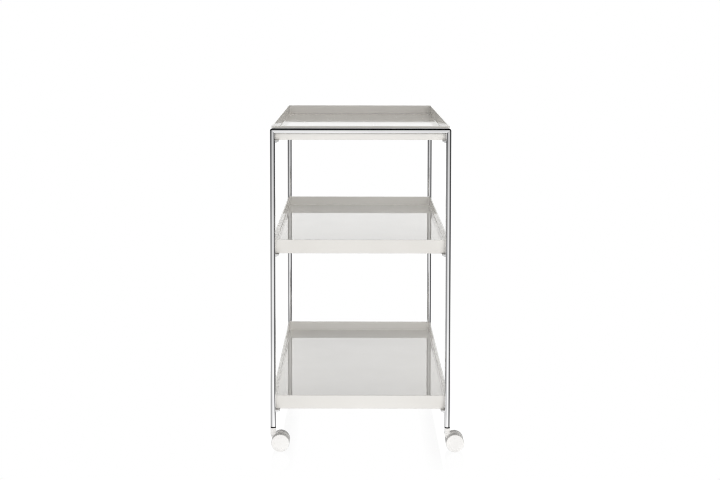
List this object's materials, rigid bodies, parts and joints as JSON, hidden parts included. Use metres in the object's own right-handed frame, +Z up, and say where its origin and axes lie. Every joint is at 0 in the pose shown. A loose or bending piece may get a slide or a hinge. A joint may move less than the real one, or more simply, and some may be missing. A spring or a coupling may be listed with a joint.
{
  "type": "serving trolley",
  "caption": "Tiered bar cart: chromed tube end frames carry open glossy trays on small brackets and stand on swivelling twin-wheel casters.",
  "frame": {"origin": "on the floor, at the middle of the box over the whole trolley with its casters as they stand", "axes": "+Z up, Y along the trolley with the front end (the end the picture shows) at -Y, X across it"},
  "size_m": [0.446, 0.8156, 0.724],
  "materials": {
    "chrome_tube": "polished chrome plate on steel tube",
    "chrome_bracket": "chrome plate, a little duller than the tubes",
    "tray": "warm off-white moulded plastic, high gloss",
    "screw": "zinc-plated steel",
    "socket": "black moulded plastic",
    "steel_pin": "turned steel",
    "caster_white": "white moulded nylon, satin gloss",
    "tread": "soft light-grey tread, matt"
  },
  "bodies": {
    "frame": {"top_bar_front": "chrome_tube", "leg_front_left": "chrome_tube", "leg_front_right": "chrome_tube", "top_bar_rear": "chrome_tube", "leg_rear_left": "chrome_tube", "leg_rear_right": "chrome_tube", "tray_top": "tray", "tray_bracket_top_front_left": "chrome_bracket", "tray_bracket_top_front_right": "chrome_bracket", "tray_bracket_top_rear_left": "chrome_bracket", "tray_bracket_top_rear_right": "chrome_bracket", "tray_screws_top": "screw", "tray_middle": "tray", "tray_bracket_middle_front_left": "chrome_bracket", "tray_bracket_middle_front_right": "chrome_bracket", "tray_bracket_middle_rear_left": "chrome_bracket", "tray_bracket_middle_rear_right": "chrome_bracket", "tray_screws_middle": "screw", "tray_bottom": "tray", "tray_bracket_bottom_front_left": "chrome_bracket", "tray_bracket_bottom_front_right": "chrome_bracket", "tray_bracket_bottom_rear_left": "chrome_bracket", "tray_bracket_bottom_rear_right": "chrome_bracket", "tray_screws_bottom": "screw", "leg_socket_front_left": "socket", "leg_socket_front_right": "socket", "leg_socket_rear_left": "socket", "leg_socket_rear_right": "socket"},
    "caster_front_left": {"caster_stem_front_left": "steel_pin", "caster_grip_ring_front_left": "steel_pin", "caster_body_front_left": "caster_white", "caster_axle_front_left": "steel_pin"},
    "wheel_front_left_outer": {"wheel_core_front_left_outer": "caster_white", "wheel_tread_front_left_outer": "tread"},
    "wheel_front_left_inner": {"wheel_core_front_left_inner": "caster_white", "wheel_tread_front_left_inner": "tread"},
    "caster_front_right": {"caster_stem_front_right": "steel_pin", "caster_grip_ring_front_right": "steel_pin", "caster_body_front_right": "caster_white", "caster_axle_front_right": "steel_pin"},
    "wheel_front_right_outer": {"wheel_core_front_right_outer": "caster_white", "wheel_tread_front_right_outer": "tread"},
    "wheel_front_right_inner": {"wheel_core_front_right_inner": "caster_white", "wheel_tread_front_right_inner": "tread"},
    "caster_rear_left": {"caster_stem_rear_left": "steel_pin", "caster_grip_ring_rear_left": "steel_pin", "caster_body_rear_left": "caster_white", "caster_axle_rear_left": "steel_pin"},
    "wheel_rear_left_outer": {"wheel_core_rear_left_outer": "caster_white", "wheel_tread_rear_left_outer": "tread"},
    "wheel_rear_left_inner": {"wheel_core_rear_left_inner": "caster_white", "wheel_tread_rear_left_inner": "tread"},
    "caster_rear_right": {"caster_stem_rear_right": "steel_pin", "caster_grip_ring_rear_right": "steel_pin", "caster_body_rear_right": "caster_white", "caster_axle_rear_right": "steel_pin"},
    "wheel_rear_right_outer": {"wheel_core_rear_right_outer": "caster_white", "wheel_tread_rear_right_outer": "tread"},
    "wheel_rear_right_inner": {"wheel_core_rear_right_inner": "caster_white", "wheel_tread_rear_right_inner": "tread"}
  },
  "joints": [
    {"name": "swivel_front_left", "type": "hinge", "parent": "frame", "child": "caster_front_left", "pos_m": [-0.2015, -0.38625, 0.05], "axis": [0, 0, 1], "continuous": true},
    {"name": "spin_front_left_outer", "type": "hinge", "parent": "caster_front_left", "child": "wheel_front_left_outer", "pos_m": [-0.185, -0.39855, 0.02], "axis": [0, 1, 0], "continuous": true},
    {"name": "spin_front_left_inner", "type": "hinge", "parent": "caster_front_left", "child": "wheel_front_left_inner", "pos_m": [-0.185, -0.37395, 0.02], "axis": [0, 1, 0], "continuous": true},
    {"name": "swivel_front_right", "type": "hinge", "parent": "frame", "child": "caster_front_right", "pos_m": [0.1865, -0.38625, 0.05], "axis": [0, 0, 1], "continuous": true},
    {"name": "spin_front_right_outer", "type": "hinge", "parent": "caster_front_right", "child": "wheel_front_right_outer", "pos_m": [0.203, -0.39855, 0.02], "axis": [0, 1, 0], "continuous": true},
    {"name": "spin_front_right_inner", "type": "hinge", "parent": "caster_front_right", "child": "wheel_front_right_inner", "pos_m": [0.203, -0.37395, 0.02], "axis": [0, 1, 0], "continuous": true},
    {"name": "swivel_rear_left", "type": "hinge", "parent": "frame", "child": "caster_rear_left", "pos_m": [-0.2015, 0.40175, 0.05], "axis": [0, 0, 1], "continuous": true},
    {"name": "spin_rear_left_outer", "type": "hinge", "parent": "caster_rear_left", "child": "wheel_rear_left_outer", "pos_m": [-0.2138, 0.38525, 0.02], "axis": [1, 0, 0], "continuous": true},
    {"name": "spin_rear_left_inner", "type": "hinge", "parent": "caster_rear_left", "child": "wheel_rear_left_inner", "pos_m": [-0.1892, 0.38525, 0.02], "axis": [1, 0, 0], "continuous": true},
    {"name": "swivel_rear_right", "type": "hinge", "parent": "frame", "child": "caster_rear_right", "pos_m": [0.1865, 0.40175, 0.05], "axis": [0, 0, 1], "continuous": true},
    {"name": "spin_rear_right_outer", "type": "hinge", "parent": "caster_rear_right", "child": "wheel_rear_right_outer", "pos_m": [0.1988, 0.38525, 0.02], "axis": [1, 0, 0], "continuous": true},
    {"name": "spin_rear_right_inner", "type": "hinge", "parent": "caster_rear_right", "child": "wheel_rear_right_inner", "pos_m": [0.1742, 0.38525, 0.02], "axis": [1, 0, 0], "continuous": true}
  ]
}
